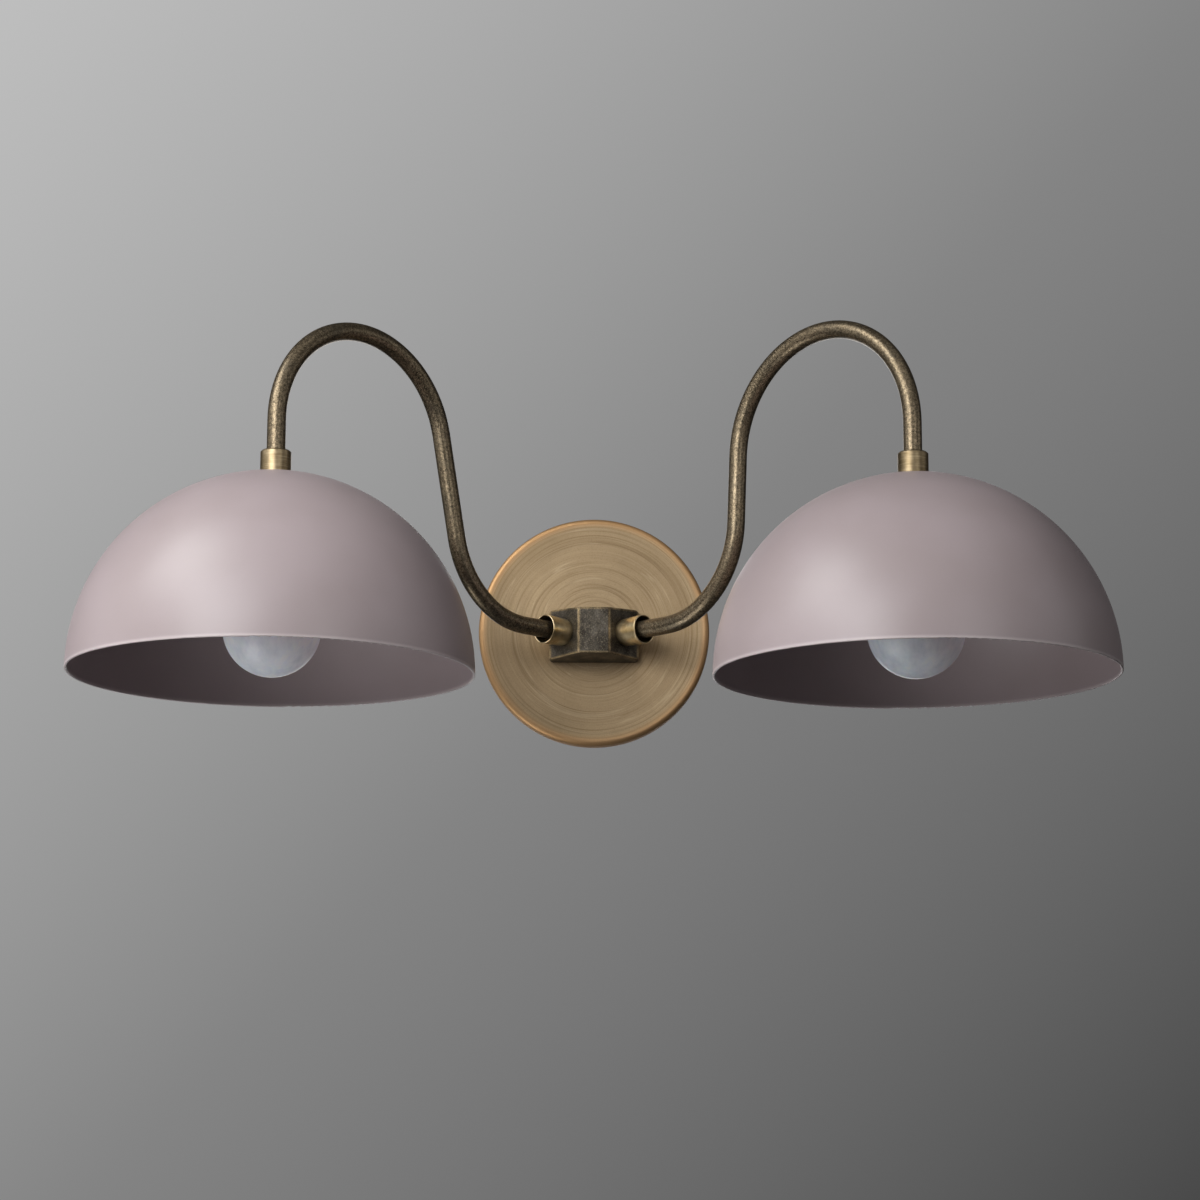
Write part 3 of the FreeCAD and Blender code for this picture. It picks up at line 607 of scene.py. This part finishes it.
def screw_outline(diameter, head_diameter, head_height, length):
    """Half outline of a pan-head screw, its shank below z = 0 and its head above."""
    radius, head = diameter / 2, head_diameter / 2
    outline = [(0.0, -length, 0.0), (radius * M4_TIP_SHARE, -length, 0.0)]
    outline += threaded_run(radius, -length + M4_PLAIN_END, -M4_PLAIN_END, M4_THREAD_DEPTH,
                            M4_PITCH, M4_POINTS_PER_TURN)
    outline += [(radius, 0.0, 0.0), (head, 0.0, 0.0), (head, head_height * HEAD_SIDE_SHARE, 0.0)]
    for turn in HEAD_CROWN_TURNS:
        swing = turn * math.pi / 2
        rise = HEAD_SIDE_SHARE + (1 - HEAD_SIDE_SHARE) * math.sin(swing)
        outline.append((head - head * HEAD_CROWN_SHARE * (1 - math.cos(swing)),
                        head_height * rise, 0.0))
    outline += [(head * (1 - HEAD_CROWN_SHARE), head_height, 0.0), (0.0, head_height, 0.0)]
    return outline


def cross_cutter(name, head_diameter, head_height):
    """Two crossed blocks that cut the recess into the top of a head."""
    head = head_diameter / 2
    long, wide, tall = (head * CROSS_LENGTH_SHARE, head * CROSS_WIDTH_SHARE,
                        head_height * CROSS_HEIGHT_SHARE)
    cutter = bmesh.new()
    for size in ((long, wide, tall), (wide, long, tall)):
        made = bmesh.ops.create_cube(cutter, size=1.0)
        bmesh.ops.scale(cutter, vec=size, verts=made["verts"])
        bmesh.ops.translate(cutter, vec=(0, 0, head_height), verts=made["verts"])
    mesh = bpy.data.meshes.new(name + "_cross")
    cutter.to_mesh(mesh)
    cutter.free()
    return bpy.data.objects.new(name + "_cross", mesh)


def screw_mesh(name, screw):
    """Threaded screw with a cross recess in its head."""
    body = bpy.data.objects.new(name, wound_mesh(name, screw_outline(**screw), M4_PITCH, M4_STEPS))
    cross = cross_cutter(name, screw["head_diameter"], screw["head_height"])
    for thing in (body, cross):
        bpy.context.scene.collection.objects.link(thing)
    cut = body.modifiers.new("cross", "BOOLEAN")
    cut.object = cross
    cut.solver = "EXACT"
    cut.use_self = True
    seen = body.evaluated_get(bpy.context.evaluated_depsgraph_get())
    mesh = bpy.data.meshes.new_from_object(seen)
    for thing in (body, cross):
        bpy.data.objects.remove(thing)
    return mesh


def make_screws(node, slot, slots, heads, up, screw):
    """One piece of screws at their heads' undersides, each head facing up."""
    joined = bmesh.new()
    turn = Vector(up).to_track_quat("Z", "Y").to_matrix().to_4x4()
    for place in heads:
        mesh = screw_mesh(node, screw)
        mesh.transform(Matrix.Translation(place) @ turn)
        joined.from_mesh(mesh)
    name = node + "_threaded"
    mesh = bpy.data.meshes.new(name)
    joined.to_mesh(mesh)
    joined.free()
    add_piece(name, mesh, "sconce", slots[slot], node)


def make_details(slots):
    """Threads of the bulb bases, and the screws."""
    for side in SIDES:
        make_threaded_base(side, slots)
        node = "terminal_screws_" + side
        low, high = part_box(node)
        inset = TERMINAL_SCREW["head_diameter"] / 2
        y, z = (low.y + high.y) / 2, high.z - TERMINAL_SCREW["head_height"]
        heads = [(x, y, z) for x in (low.x + inset, high.x - inset)]
        make_screws(node, "contact_brass", slots, heads, (0, 0, 1), TERMINAL_SCREW)
    low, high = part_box("hub_screws")
    inset = HUB_SCREW["head_diameter"] / 2
    y, z = high.y - HUB_SCREW["head_height"], (low.z + high.z) / 2
    heads = [(x, y, z) for x in (low.x + inset, high.x - inset)]
    make_screws("hub_screws", "zinc_steel", slots, heads, (0, 1, 0), HUB_SCREW)
    low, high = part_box("ground_screw")
    head = ((low.x + high.x) / 2, low.y + GROUND_SCREW["head_height"], (low.z + high.z) / 2)
    make_screws("ground_screw", "ground_green", slots, [head], (0, -1, 0), GROUND_SCREW)


# ---------------------------------------------------------------- stage, light and camera
FLOOR_DROP = 2.0
FLOOR_SIZE = 9.0
FLOOR_SHOWN_STRENGTH = 0.35

# Each soft box by its azimuth and elevation in degrees, distance and width in metres, and watts.
LIGHT_TARGET = Vector((0.0, -0.12, 0.03))
LIGHTS = {
    "key": (-60, 40, 1.25, 0.7, 7.2),
    "front": (-30, 15, 1.25, 0.7, 8.2),
    "low": (-75, -50, 1.25, 0.7, 4.4),
    "left": (-88, 10, 1.25, 0.7, 1.0),
    "right": (30, 10, 2.1, 0.9, 3.8),
    "far_right": (80, 15, 2.1, 0.9, 1.4),
    "back": (180, 4, 1.9, 1.0, 6.0),
}

# The backdrop's greys by their place along a slope from lower right to upper left: the first
# stop, the last one, and then those between.
BACKDROP_SLOPE = (-0.72, 0.0, 0.70)
BACKDROP_RANGE = (-0.74, 0.80)
BACKDROP_GREYS = ((0.0, 96), (1.0, 84), (0.375, 62), (0.56, 132), (0.76, 196))
ASIDE_GREY = 152
SIDE_SHADE = srgb(44, 44, 45)

# Where those two fade, by how far a direction points towards the wall, from -1 to 1.
ASIDE_FADE = (0.6, 0.9)
SIDE_FADE_IN = (-0.25, 0.1)
SIDE_FADE_OUT = (0.80, 0.95)

LIGHTING_GREY = srgb(150, 150, 152)
LIGHTING_STRENGTH = 0.12

# The camera of the photograph, for a frame of 1200 by 1200 pixels.
FRAME_PIXELS = 1200
FOCAL_PIXELS = 3090
SENSOR = 36.0
CAMERA_PLACE = (0.0, -1.6806, -0.3175)
CAMERA_PITCH = math.radians(11.335)
CAMERA_YAW = math.radians(0.111)
CAMERA_ROLL = math.radians(0.123)


def make_lights():
    """Soft boxes, each facing the target."""
    for name, (azimuth, elevation, distance, size, power) in LIGHTS.items():
        data = bpy.data.lights.new(name, "AREA")
        data.size = size
        data.energy = power
        light = bpy.data.objects.new(name, data)
        bpy.context.scene.collection.objects.link(light)
        turn, rise = math.radians(azimuth), math.radians(elevation)
        level = math.cos(rise)
        away = Vector((math.sin(turn) * level, -math.cos(turn) * level, math.sin(rise)))
        light.location = LIGHT_TARGET + away * distance
        towards = LIGHT_TARGET - light.location
        light.rotation_euler = towards.to_track_quat("-Z", "Y").to_euler()


def make_floor():
    """Plain floor, pale to the camera and dimmer in the light that it throws back."""
    mesh = bpy.data.meshes.new("floor")
    half = FLOOR_SIZE / 2
    corners = [(x * half, y * half, -FLOOR_DROP) for x, y in ((-1, -1), (1, -1), (1, 1), (-1, 1))]
    mesh.from_pydata(corners, [], [(0, 1, 2, 3)])
    floor = bpy.data.objects.new("floor", mesh)
    bpy.context.scene.collection.objects.link(floor)
    shader = Shader("floor", Roughness=0.9)
    to_camera = shader.node("ShaderNodeLightPath").outputs["Is Camera Ray"]
    pale = shader.mix(shader.span(shader.noise(3.0), 0.3, 0.7), FLOOR_PALE, FLOOR_PALER)
    shader.link("Base Color", shader.mix(to_camera, FLOOR_LIGHTING, pale))
    shader.link("Emission Color", pale)
    shader.link("Emission Strength", shader.math("MULTIPLY", to_camera, FLOOR_SHOWN_STRENGTH))
    mesh.materials.append(shader.material)


def make_world():
    """Grey backdrop that falls off from upper left to lower right, and a dimmer grey that lights.

    The camera sees the slope only ahead, towards the wall, and one plain grey elsewhere. Polished
    surfaces see dark sides between the wall and the room.
    """
    world = bpy.data.worlds.new("world")
    bpy.context.scene.world = world
    world.use_nodes = True
    nodes = Nodes(world.node_tree)
    direction = nodes.node("ShaderNodeTexCoord").outputs["Generated"]
    path = nodes.node("ShaderNodeLightPath").outputs
    slope = nodes.vector("DOT_PRODUCT", direction, BACKDROP_SLOPE)
    colour = nodes.ramp(nodes.span(slope, *BACKDROP_RANGE),
                        *((place, grey(level)) for place, level in BACKDROP_GREYS))
    _, ahead, _ = nodes.parts(direction)
    aside = nodes.span(ahead, *ASIDE_FADE, 1.0, 0.0, smooth=True)
    aside = nodes.math("MULTIPLY", aside, path["Is Camera Ray"])
    colour = nodes.mix(aside, colour, grey(ASIDE_GREY))
    sides = nodes.math("MULTIPLY", nodes.span(ahead, *SIDE_FADE_IN, smooth=True),
                       nodes.span(ahead, *SIDE_FADE_OUT, 1.0, 0.0, smooth=True))
    sides = nodes.math("MULTIPLY", sides, path["Is Glossy Ray"])
    colour = nodes.mix(sides, colour, SIDE_SHADE)
    shown = nodes.tree.nodes["Background"]
    nodes.feed(shown.inputs["Color"], colour)
    lit = nodes.node("ShaderNodeBackground")
    lit.inputs["Color"].default_value = rgba(LIGHTING_GREY)
    lit.inputs["Strength"].default_value = LIGHTING_STRENGTH
    seen = nodes.math("MAXIMUM", path["Is Glossy Ray"], path["Is Transmission Ray"])
    seen = nodes.math("MAXIMUM", seen, path["Is Camera Ray"])
    mixed = nodes.node("ShaderNodeMixShader")
    for socket, value in zip(mixed.inputs, (seen, lit.outputs[0], shown.outputs[0])):
        nodes.feed(socket, value)
    nodes.feed(nodes.tree.nodes["World Output"].inputs["Surface"], mixed.outputs[0])


def make_camera():
    """Camera at the photograph's viewpoint."""
    data = bpy.data.cameras.new("camera")
    data.sensor_width = SENSOR
    data.lens = SENSOR * FOCAL_PIXELS / FRAME_PIXELS
    camera = bpy.data.objects.new("camera", data)
    bpy.context.scene.collection.objects.link(camera)
    aim = Matrix.Rotation(-CAMERA_YAW, 4, "Z") @ Matrix.Rotation(math.pi / 2 + CAMERA_PITCH, 4, "X")
    aim = aim @ Matrix.Rotation(CAMERA_ROLL, 4, "Z")
    camera.matrix_world = Matrix.Translation(CAMERA_PLACE) @ aim
    bpy.context.scene.camera = camera


slots = slot_materials()
dress_nodes(slots, own_materials())
make_details(slots)
make_lights()
make_floor()
make_world()
make_camera()
bpy.context.scene.view_settings.view_transform = "Standard"
